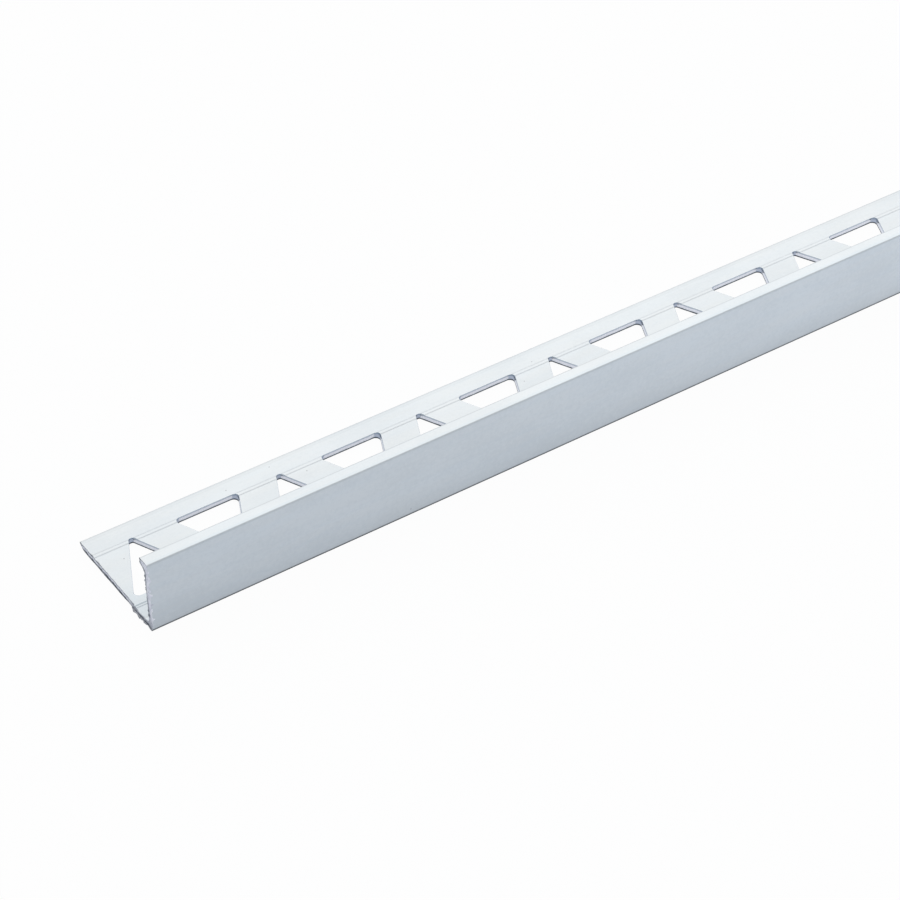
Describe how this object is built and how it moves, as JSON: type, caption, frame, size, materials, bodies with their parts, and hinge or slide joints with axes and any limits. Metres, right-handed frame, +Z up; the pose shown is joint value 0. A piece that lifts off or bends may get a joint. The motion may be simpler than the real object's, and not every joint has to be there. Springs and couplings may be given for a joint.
{
  "type": "tile edge trim",
  "caption": "Straight L-shaped tile edge trim in satin aluminium, with a lip along its top edge and a punched anchoring leg.",
  "frame": {"origin": "middle of the strip's bounding box, on the plane that the anchoring leg rests on", "axes": "+X along the strip, +Y from the visible face to the back edge of the anchoring leg, +Z up the upright to the lip"},
  "size_m": [1, 0.0218, 0.0125],
  "materials": {
    "silver_anodised": "satin silver anodised, with bare sawn ends"
  },
  "bodies": {
    "root": {"edge_trim": "silver_anodised"}
  },
  "joints": []
}
